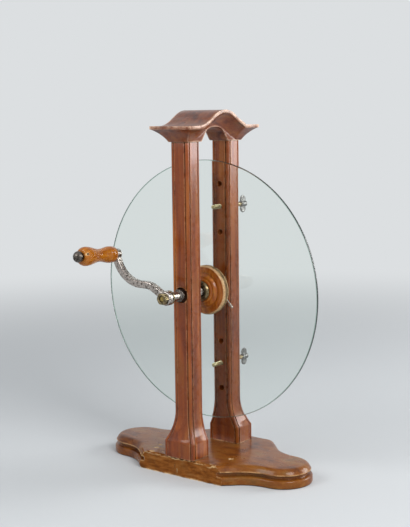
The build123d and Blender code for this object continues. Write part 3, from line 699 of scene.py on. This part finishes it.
def beaded_post(name, side):
    """A post with its foot, bores and tenons; side is -1 at the crank and 1 at the far side."""
    middle = side * POST_Y
    corner = beaded_corner()
    right_rear = [(POST_HALF_X + x, middle + POST_HALF_Y + y) for x, y in corner]
    right_front = [(POST_HALF_X + x, middle - POST_HALF_Y - y) for x, y in reversed(corner)]
    left_front = [(-POST_HALF_X - x, middle - POST_HALF_Y - y) for x, y in corner]
    left_rear = [(-POST_HALF_X - x, middle + POST_HALF_Y + y) for x, y in reversed(corner)]
    outline = right_rear + right_front + left_front + left_rear
    piece = point_at(name, metres(*outline[0], BASE_TOP))
    draw_on([metres(after[0] - before[0], after[1] - before[1], 0)
             for before, after in zip(outline, outline[1:] + outline[:1])])
    bpy.ops.mesh.select_all(action="SELECT")
    bpy.ops.mesh.remove_doubles(threshold=MERGE)
    bpy.ops.mesh.edge_face_add()
    levels = [BASE_TOP, BASE_TOP + 14, FOOT_TOP - 0.5, FOOT_TOP]
    levels += [FOOT_TOP + FLARE_HEIGHT * step / 14 for step in range(1, 15)]
    levels += [150, 200, 250, 300, 350, 400, 450, 500, 540, SEAT_Z]
    for low, high in zip(levels, levels[1:]):
        bpy.ops.mesh.extrude_region_move(TRANSFORM_OT_translate={"value": metres(0, 0, high - low)})
    for height in levels:
        share = flare_share(height)
        if share == 0:
            continue
        at = lambda v: abs(v.z - height) < 0.01
        shift(piece, lambda v: at(v) and v.x > 0, (FLARE_SIDE * share, 0, 0))
        shift(piece, lambda v: at(v) and v.x < 0, (-FLARE_SIDE * share, 0, 0))
        shift(piece, lambda v: at(v) and side * (v.y - middle) > 0, (0, side * FLARE_OUT * share, 0))
        shift(piece, lambda v: at(v) and side * (v.y - middle) < 0, (0, -side * FLARE_IN * share, 0))
    close_mesh()
    cut_away(piece, block("foot_tenon", (-10, middle - 8, BASE_TOP - 19), (10, middle + 8, BASE_TOP + 4)),
             block("cap_tenon", (-10, middle - 8, SEAT_Z - 4), (10, middle + 8, SEAT_Z + 16)),
             operation="UNION")
    inner = Vector((0, side * (POST_IN - 5), 0))
    outward = Vector((0, side, 0))
    bores = [rod("axle_bore", inner + Vector((0, 0, AXLE_Z)), outward, 13.55, 60, 64),
             rod("screw_bore", (0, middle, BASE_TOP - 25), (0, 0, 1), 3.05, 61.4, 32)]
    bores += [turned("guide_bore", inner + Vector((0, 0, z)), outward,
                     [(0, 0), (0, 5.6), (5.2, 5.5), (5.9, 5.0), (8.2, 4.3), (10.5, 3.8), (20, 3.8),
                      (20, 0)], 32)
              for z in GUIDES]
    if side > 0:
        for z in SCREWS.values():
            bores.append(rod("rod_bore", inner + Vector((0, 0, z)), outward, 4.4, 60, 32))
            bores.append(rod("bush_bore", (0, POST_OUT - 20, z), outward, 7.05, 30, 40))
    cut_away(piece, *bores)
    return soften(piece, 0.3, 2, 50)


for place, side in (("front", -1), ("rear", 1)):
    mount(beaded_post(f"beaded_{place}_post", side), "frame", "mahogany", post_mahogany,
          f"{place}_post", angle=40)

cap = merged_copy("cap_board", "waved_cap_board")
soften(cap, 0.6)
mount(cap, "frame", "mahogany", cap_mahogany, "cap_board")


# Glass disc: plate glass with a ground and rounded rim

GROUND_FROM = 223.4
disc = turned("ground_glass_disc", (0, 0, AXLE_Z), (0, 1, 0),
              [(-GLASS_HALF, WHEEL_BORE), (-GLASS_HALF, 120), (-GLASS_HALF, 223.2),
               (-GLASS_HALF, 223.6), (-2.3, 224.2), (-1.9, 224.65), (-1.2, 224.92), (0, DISC_RADIUS),
               (1.2, 224.92), (1.9, 224.65), (2.3, 224.2), (GLASS_HALF, 223.6), (GLASS_HALF, 223.2),
               (GLASS_HALF, 120), (GLASS_HALF, WHEEL_BORE), (-GLASS_HALF, WHEEL_BORE)], 240)
mount(disc, "wheel", "glass", None, "glass_disc", angle=20)
disc.data.materials.append(glass_face)
disc.data.materials.append(glass_rim)
for face in disc.data.polygons:
    middle = face.center / MM
    face.material_index = int(hypot(middle.x, middle.z - AXLE_Z) > GROUND_FROM)


# Hub: two turned flanges, clamp nut and the pin through the axle

REAR_END = BOSS_FACE + 18.5
PIN_Y = BOSS_FACE + 12.2
FLANGE_RIM = 40.9
FLANGE = [
    (HUB_FACE, WHEEL_BORE), (HUB_FACE, 41.7), (5.2, 41.7), (6.6, 41.65), (7.8, 41.3), (8.7, 40.6),
    (9.3, 39.6), (9.4, 38.6), (9.2, 37.9), (9.7, 37.0), (10.4, 34.6), (10.9, 32.0), (10.9, 30.8),
    (10.5, 30.0), (10.6, 29.2), (11.4, 28.4), (13.0, 27.6), (14.4, 26.6), (15.2, 25.2),
    (15.5, 23.6), (15.5, 22.4), (16.0, 21.4), (17.0, 20.6), (BOSS_FACE, 19.6),
]


def pale_rim(flange):
    """The flange's outer rim, where the polish has rubbed off."""
    flange.data.materials.append(bare_wood)
    for face in flange.data.polygons:
        middle = face.center / MM
        if hypot(middle.x, middle.z - AXLE_Z) > FLANGE_RIM:
            face.material_index = 1


front_flange = turned("turned_front_hub_flange", (0, 0, AXLE_Z), (0, -1, 0),
                      FLANGE + [(BOSS_FACE, WHEEL_BORE), (HUB_FACE, WHEEL_BORE)], 128)
mount(front_flange, "wheel", "hub_wood", hub_fruitwood, "front_hub_flange", angle=50)
pale_rim(front_flange)
rear_flange = turned("turned_rear_hub_flange", (0, 0, AXLE_Z), (0, 1, 0),
                     FLANGE + [(BOSS_FACE, 16.2), (BOSS_FACE + 0.9, 15.2), (BOSS_FACE + 3, 15.0),
                               (REAR_END - 3.4, 15.0), (REAR_END - 3.0, 14.4), (REAR_END - 2.6, 15.0),
                               (REAR_END - 0.6, 14.8), (REAR_END, 14.2), (REAR_END, WHEEL_BORE),
                               (HUB_FACE, WHEEL_BORE)], 128)
pin_way = Vector((cos(radians(45)), 0, -sin(radians(45))))
cut_away(rear_flange, rod("pin_bore", Vector((0, PIN_Y, AXLE_Z)) - pin_way * 22, pin_way, 2.25, 44, 24))
mount(rear_flange, "wheel", "hub_wood", hub_fruitwood, "rear_hub_flange", angle=50)
pale_rim(rear_flange)

clamp = turned("dished_clamp_nut", (0, -BOSS_FACE, AXLE_Z), (0, -1, 0),
               [(0, WHEEL_BORE), (0, 17.1), (0.3, 17.5), (1.4, 17.5), (2.6, 17.2), (4.0, 16.4), (5.2, 15.2),
                (5.9, 13.9), (6.0, 12.8), (5.6, 11.9), (4.4, 11.2), (3.6, 10.6), (3.5, 9.9),
                (3.3, WHEEL_BORE), (0, WHEEL_BORE)], 96)
mount(clamp, "wheel", "brass", dull_brass, "clamp_nut", angle=50)
pin = turned("axle_pin", Vector((0, PIN_Y, AXLE_Z)) - pin_way * 18, pin_way,
             [(0, 0), (0, 1.1), (0.25, 1.75), (0.8, 2.15), (1.6, 2.2), (62.5, 2.2), (63.6, 2.1),
              (64.6, 1.5), (65.0, 0.7), (65.0, 0)], 32)
mount(pin, "wheel", "iron", turned_steel, "hub_pin", angle=50)


# Crank arm: forged, so its corners are soft and its faces hammered

arm = merged_copy("crank_arm", "forged_crank_arm")
change(arm, "REMESH", mode="VOXEL", voxel_size=0.7 * MM, use_smooth_shade=True)
change(arm, "SMOOTH", factor=0.5, iterations=3)
hammered(arm, 3.2, 0.55)
mount(arm, "wheel", "iron", forged_iron, "crank_arm", angle=60)


# Grip: turned boxwood with a groove round its drum and a peg hole near its far end

grip_way = Vector((0, -cos(GRIP_TILT), sin(GRIP_TILT)))
grip_root = Vector((-CRANK_REACH, -ARM_FRONT, AXLE_Z + CRANK_RISE))
GRIP_END = GRIP_START + GRIP_LENGTH
PEG_PLACE = GRIP_START + 75.5
GRIP_SHAPE = [
    (0.0, GRIP_BORE), (0.0, 11.9), (0.5, 12.7), (2.5, 13.5), (6.5, 14.05), (10.5, 14.1), (14.5, 13.9),
    (16.3, 13.7), (16.7, 13.1), (17.2, 13.1), (17.6, 13.6), (20.0, 13.2), (25.0, 12.1), (31.0, 11.15),
    (36.0, 10.9), (41.0, 11.2), (47.0, 12.2), (54.0, 13.9), (61.0, 15.5), (67.0, 16.15), (71.5, 15.9),
    (75.0, 14.7), (77.6, 12.8), (78.7, 11.3), (GRIP_LENGTH, 10.3), (GRIP_LENGTH, GRIP_BORE),
    (0.0, GRIP_BORE),
]


def place_on_grip(far):
    """The point this far along the grip's axis from the crank arm's front face."""
    return grip_root + grip_way * far


grip = turned("turned_boxwood_grip", place_on_grip(GRIP_START), grip_way, GRIP_SHAPE, 96)
peg_way = Vector((0.93, 0, 0.37)).normalized()
grip.data.materials.append(grip_boxwood)
# The peg hole is lined with the dark bush wood, which paints the shade inside the hole
chip_out(grip, bush_wood,
         rod("peg_hole", place_on_grip(PEG_PLACE) + peg_way * 7.5, peg_way, 1.6, 9, 24))
mount(grip, "handle", "boxwood", None, "grip", angle=60)


# Axle fittings: turned rings, and nuts whose corners are turned off

def ring(name, start, way, inner, outer, thickness, round_over=0.6, steps=72):
    """A turned ring whose outer corners are rounded."""
    r, t = round_over, thickness
    return turned(name, start, way,
                  [(0, inner), (0, outer - r), (0.3 * r, outer - 0.3 * r), (r, outer), (t - r, outer),
                   (t - 0.3 * r, outer - 0.3 * r), (t, outer - r), (t, inner), (0, inner)], steps)


def hex_nut(name, start, way, across, length, bore):
    """A hexagon nut: a six-sided bar in the lathe, its corners turned off and its edges worn."""
    clear_choice()
    corner = across / 2 / cos(radians(30))
    middle = Vector(start) + Vector(way) * length / 2
    bpy.ops.mesh.primitive_cylinder_add(vertices=6, radius=corner * MM, depth=length * MM,
                                        location=middle * MM, rotation=(pi / 2, 0, 0))
    nut = settle(bpy.context.object, name)
    take(nut)
    bpy.ops.object.mode_set(mode="EDIT")
    bpy.ops.mesh.select_all(action="SELECT")
    bpy.ops.transform.rotate(value=radians(30), orient_axis="Y", center_override=middle * MM)
    bpy.ops.object.mode_set(mode="OBJECT")
    blank = turned("turned_blank", start, way,
                   [(0, 0), (0, corner - 1.0), (0.5, corner - 0.2), (0.9, corner + 0.2),
                    (length - 1.7, corner + 0.2), (length - 0.4, corner - 1.7), (length, corner - 2.3),
                    (length, 0)], 96)
    cut_away(nut, blank, operation="INTERSECT")
    cut_away(nut, turned("bore", Vector(start) - Vector(way), way,
                         [(0, 0), (0, bore + 1.6), (1.0, bore + 0.8), (1.8, bore), (length + 0.2, bore),
                          (length + 1.0, bore + 0.8), (length + 2, bore + 1.6), (length + 2, 0)], 48))
    return soften(nut, 0.35, 3, 30)


TO_CRANK, TO_BACK = Vector((0, -1, 0)), Vector((0, 1, 0))


def axle_at(y):
    """The point of the axle's middle line at this Y."""
    return (0, y, AXLE_Z)


for place, y, way, length in (("front", -POST_IN, TO_CRANK, 27.8), ("rear", POST_IN, TO_BACK, 33.6)):
    mount(ring(f"{place}_axle_bush_ring", axle_at(y), way, JOURNAL_BORE, 13.5, length, 0.5), "frame",
          "bush_wood", bush_wood, f"{place}_axle_bush", angle=50)
mount(ring("turned_axle_collar", axle_at(-POST_OUT - 0.3), TO_CRANK, JOURNAL_BORE, 11.0, 8.0, 1.6), "wheel",
      "iron", dark_steel, "axle_collar", angle=60)
mount(ring("rear_brass_washer", axle_at(POST_OUT + 0.3), TO_BACK, END_BORE, 11.0, 2.0, 0.4), "wheel",
      "brass", aged_brass, "rear_axle_washer", angle=50)
mount(hex_nut("rear_brass_nut", axle_at(POST_OUT + 2.3), TO_BACK, 16.0, 6.5, END_BORE), "wheel",
      "brass", aged_brass, "rear_axle_nut")
mount(ring("brass_crank_washer", axle_at(-ARM_BACK + 3), TO_CRANK, 7.7, 12.2, 3.0, 0.8), "wheel",
      "brass", dull_brass, "crank_washer", angle=50)
mount(hex_nut("brass_crank_nut", axle_at(-ARM_FRONT), TO_CRANK, 18.0, 8.5, END_BORE), "wheel",
      "brass", dull_brass, "crank_nut")
for name, start, way in (("front_leather_disc", -GLASS_HALF, TO_CRANK),
                         ("rear_leather_disc", GLASS_HALF, TO_BACK)):
    disc_of_leather = ring(name, axle_at(start), way, WHEEL_BORE, 43.0, 1.0, 0.25, 144)
    take(disc_of_leather)
    bpy.ops.object.mode_set(mode="EDIT")
    choose(disc_of_leather, "VERT", lambda v: hypot(v.x, v.z - AXLE_Z) > 42)
    bpy.ops.transform.vertex_random(offset=0.5 * MM, seed=4)
    bpy.ops.object.mode_set(mode="OBJECT")
    mount(disc_of_leather, "wheel", "leather", leather, name.replace("disc", "washer"), angle=50)

# The axle: a mid part, two journals, and at the crank a worn neck with turning marks and a tang
axle = turned("turned_axle", (0, 0, AXLE_Z), TO_CRANK, [
    (-83.7, 0), (-83.7, 3.9), (-83.0, 4.9), (-75.7, 5.0), (-73.8, 5.2), (-73.7, 7.8), (-73.2, 8.0),
    (-39.6, 8.0), (-39.5, 8.8), (-39.2, 9.0), (39.2, 9.0), (39.5, 8.8), (39.6, 8.0), (82.2, 8.0),
    (82.6, 7.7), (83.6, 7.7), (84.1, 8.0), (88.5, 7.9), (93.0, 7.75), (98.5, 7.85), (100.4, 8.0),
    (101.0, 7.6), (101.6, 8.0), (102.8, 7.9), (103.1, 7.4), (103.1, 0)], 72)
tang = block("tang", (-5.3, -ARM_FRONT, AXLE_Z - 5.3), (5.3, -102.5, AXLE_Z + 5.3))
stub = turned("stub", axle_at(-ARM_FRONT + 1), TO_CRANK,
              [(0, 0), (0, 5.0), (6.6, 5.0), (7.4, 4.5), (7.8, 3.4), (8.0, 0)], 48)
cut_away(axle, tang, stub, operation="UNION")
cut_away(axle, rod("pin_bore", Vector((0, PIN_Y, AXLE_Z)) - pin_way * 12, pin_way, 2.25, 24, 24))
mount(axle, "wheel", "iron", turned_steel, "axle", angle=40)
axle.data.materials.append(aged_brass)
for face in axle.data.polygons:
    face.material_index = int(face.center.y / MM < -ARM_FRONT - 0.5)

# Handle fittings, all along the tilted spindle
spindle = turned("riveted_grip_spindle", grip_root, grip_way, [
    (-14.14, 0), (-14.1, 2.4), (-13.7, 4.2), (-13.0, 5.7), (-12.4, 6.4), (-11.95, 6.5), (-11.94, 4.5),
    (86.2, 4.5), (86.2, 0)], 48)
mount(spindle, "wheel", "iron", turned_steel, "grip_spindle", angle=50)
grip_washer = turned("dished_grip_washer", place_on_grip(0.66), grip_way, [
    (0, GRIP_BORE), (0, 9.9), (0.3, 10.5), (0.9, 10.6), (1.4, 10.5), (1.8, 10.0), (2.0, 9.0), (1.7, 7.0),
    (1.6, GRIP_BORE), (0, GRIP_BORE)], 64)
mount(grip_washer, "wheel", "iron", dark_steel, "grip_washer", angle=60)
button = turned("domed_grip_button", place_on_grip(GRIP_END + 0.3), grip_way, [
    (0, GRIP_BORE), (0, 7.2), (0.4, 7.5), (3.4, 7.5), (3.8, 7.9), (4.0, 8.8), (4.5, 9.3), (5.4, 9.4),
    (7.2, 9.35), (8.4, 9.1), (9.0, 8.6), (9.4, 8.5), (9.9, 8.3), (11.2, 7.3), (12.4, 5.6), (13.3, 3.4),
    (13.8, 1.6), (14.0, 0)], 64)
cut_away(button, turned("blind_bore", place_on_grip(GRIP_END), grip_way,
                        [(-1, 0), (-1, GRIP_BORE), (4.35, GRIP_BORE), (4.35, 0)], 48))
mount(button, "wheel", "iron", dark_steel, "grip_button", angle=60)


# Pressure screws of the missing cushions: threaded rods, cast wings and turned bushes

THREAD_PITCH = 1.4


def threaded_rod(name, tip, z):
    """A rod with a cut thread, a plain neck and a riveted end."""
    start, end = WINGS_Y - WINGS_HALF, WINGS_Y + WINGS_HALF
    core = turned(name, (0, 0, 0), TO_BACK, [
        (tip, 0), (tip, 2.0), (tip + 0.9, 2.7), (tip + 1.4, 2.9), (start - 0.3, 2.9), (start - 0.05, 2.85),
        (start - 0.05, 2.75), (end + 0.05, 2.75), (end + 0.05, 4.1), (end + 0.5, 4.2), (end + 1.1, 3.4),
        (end + 1.4, 2.0), (end + 1.4, 0)], 32)
    ridge = point_at("thread", metres(2.8, tip + 0.6, 0))
    draw_on([metres(0.9, 0.45, 0), metres(0, 0.2, 0), metres(-0.9, 0.45, 0), metres(0, -1.1, 0)])
    bpy.ops.mesh.select_all(action="SELECT")
    bpy.ops.mesh.remove_doubles(threshold=MERGE)
    bpy.ops.object.mode_set(mode="OBJECT")
    turns = int((start - tip - 2.2) / THREAD_PITCH)
    change(ridge, "SCREW", axis="Y", angle=2 * pi, screw_offset=THREAD_PITCH * MM, iterations=turns,
           steps=20, render_steps=20, use_merge_vertices=False)
    bpy.ops.object.mode_set(mode="EDIT")
    bpy.ops.mesh.select_all(action="SELECT")
    bpy.ops.mesh.fill_holes(sides=6)
    bpy.ops.mesh.normals_make_consistent(inside=False)
    bpy.ops.object.mode_set(mode="OBJECT")
    take(core)
    ridge.select_set(True)
    bpy.ops.object.join()
    bpy.ops.object.mode_set(mode="EDIT")
    bpy.ops.mesh.select_all(action="SELECT")
    bpy.ops.transform.translate(value=metres(0, 0, z))
    bpy.ops.object.mode_set(mode="OBJECT")
    return core


def cast_wings(name, z):
    """A cast wing head: a waisted hub with two round lobes, each dished for the thumb."""
    start = WINGS_Y - WINGS_HALF
    head = turned(name, (0, start, z), TO_BACK, [
        (0, 2.85), (0, 4.6), (0.5, 5.3), (2.0, 5.4), (3.4, 4.9), (7, 4.4), (10.6, 4.9), (12, 5.4),
        (13.5, 5.3), (14, 4.6), (14, 2.85), (0, 2.85)], 48)
    for side in (-1, 1):
        lobe = turned("lobe", (-1.6, WINGS_Y, z + side * 8.4), (1, 0, 0), [
            (0.55, 0), (0.45, 2.6), (0.1, 4.6), (0, 5.8), (0.3, 6.7), (0.9, 7.1), (1.6, 7.2), (2.3, 7.1),
            (2.9, 6.7), (3.2, 5.8), (3.1, 4.6), (2.75, 2.6), (2.65, 0)], 48)
        cut_away(head, lobe, operation="UNION")
    cut_away(head, rod("bore", (0, start - 1, z), TO_BACK, 2.85, 16, 32))
    return soften(head, 0.5, 3, 30)


for place, tip in (("upper", 18.5), ("lower", 15.0)):
    z = SCREWS[place]
    mount(threaded_rod(f"{place}_threaded_rod", tip, z), f"{place}_screw", "brass", rod_brass,
          f"{place}_pressure_screw", angle=40)
    mount(cast_wings(f"{place}_cast_wings", z), f"{place}_wings", "brass", cast_alloy,
          f"{place}_wing_head", angle=50)
    mount(ring(f"{place}_turned_bush", (0, POST_OUT, z), TO_CRANK, 4.05, 7.0, 20.0, 0.4, 48), "frame",
          "bush_wood", bush_wood, f"{place}_screw_bush", angle=50)
for place, y in (("front", -POST_Y), ("rear", POST_Y)):
    screw = turned(f"{place}_slotted_screw", (0, y, 0), (0, 0, 1), [
        (0.8, 0), (0.8, 5.8), (1.0, 6.0), (4.2, 3.0), (53.5, 3.0), (55.0, 2.2), (55.8, 0)], 48)
    cut_away(screw, block("slot", (-7, y - 0.6, 0), (7, y + 0.6, 2.2)))
    mount(screw, "frame", "iron", dark_steel, f"{place}_post_screw", angle=50)


# Floor, backdrop and lights

BACKDROP = "#dcdfe1"
# The floor fades into the backdrop between these distances from the middle, in metres
FADE_START, FADE_END = 0.9, 2.6


def pale_floor():
    """A pale matt floor that fades into the backdrop's own colour away from the object."""
    clear_choice()
    bpy.ops.mesh.primitive_circle_add(vertices=64, radius=30, fill_type="NGON")
    floor = settle(bpy.context.object, "floor")
    material, tree, shader = new_material("pale_paper_floor", Base_Color="#d4d7d9", Roughness=0.85)
    place = put(tree, "TexCoord", out="Object")
    far = put(tree, "VectorMath", {"operation": "LENGTH"}, "Value", i0=place)
    share = put(tree, "MapRange", {"interpolation_type": "SMOOTHSTEP"}, Value=far, From_Min=FADE_START,
                From_Max=FADE_END)
    glow = put(tree, "Emission", Color=BACKDROP, Strength=1.0)
    both = put(tree, "MixShader", i0=share, i1=shader.outputs[0], i2=glow)
    tree.links.new(both, tree.nodes["Material Output"].inputs["Surface"])
    floor.data.materials.append(material)


def world_light():
    """Soft light from all round; the camera, gloss and glass see the backdrop's colour."""
    world = bpy.data.worlds.new("studio")
    bpy.context.scene.world = world
    world.use_nodes = True
    tree = world.node_tree
    path = put(tree, "LightPath", out=None)
    seen = put(tree, "Math", LARGER, i0=path.outputs["Is Camera Ray"], i1=path.outputs["Is Glossy Ray"])
    seen = put(tree, "Math", LARGER, i0=seen, i1=path.outputs["Is Transmission Ray"])
    soft = tree.nodes["Background"]
    soft.inputs["Color"].default_value = colour("#eef2f6")
    soft.inputs["Strength"].default_value = 0.42
    shown = put(tree, "Background", Color=BACKDROP, Strength=1.0)
    both = put(tree, "MixShader", i0=seen, i1=soft.outputs[0], i2=shown)
    tree.links.new(both, tree.nodes["World Output"].inputs["Surface"])


def soft_box(name, place, aim, size, power):
    """A square soft box that looks at a point."""
    lamp = bpy.data.lights.new(name, "AREA")
    lamp.energy, lamp.size = power, size
    box = bpy.data.objects.new(name, lamp)
    bpy.context.scene.collection.objects.link(box)
    box.location = place
    box.rotation_mode = "QUATERNION"
    box.rotation_quaternion = (Vector(place) - Vector(aim)).to_track_quat("Z", "Y")


pale_floor()
world_light()
soft_box("right_soft_box", (1.9, -0.7, 1.6), (0, 0, 0.3), 1.0, 32)
soft_box("front_soft_box", (-0.7, -1.6, 1.5), (0, 0, 0.3), 1.0, 14)
soft_box("rear_soft_box", (1.45, 1.75, 0.92), (0, 0, 0.45), 1.1, 30)

view = bpy.context.scene.view_settings
view.view_transform = "Standard"
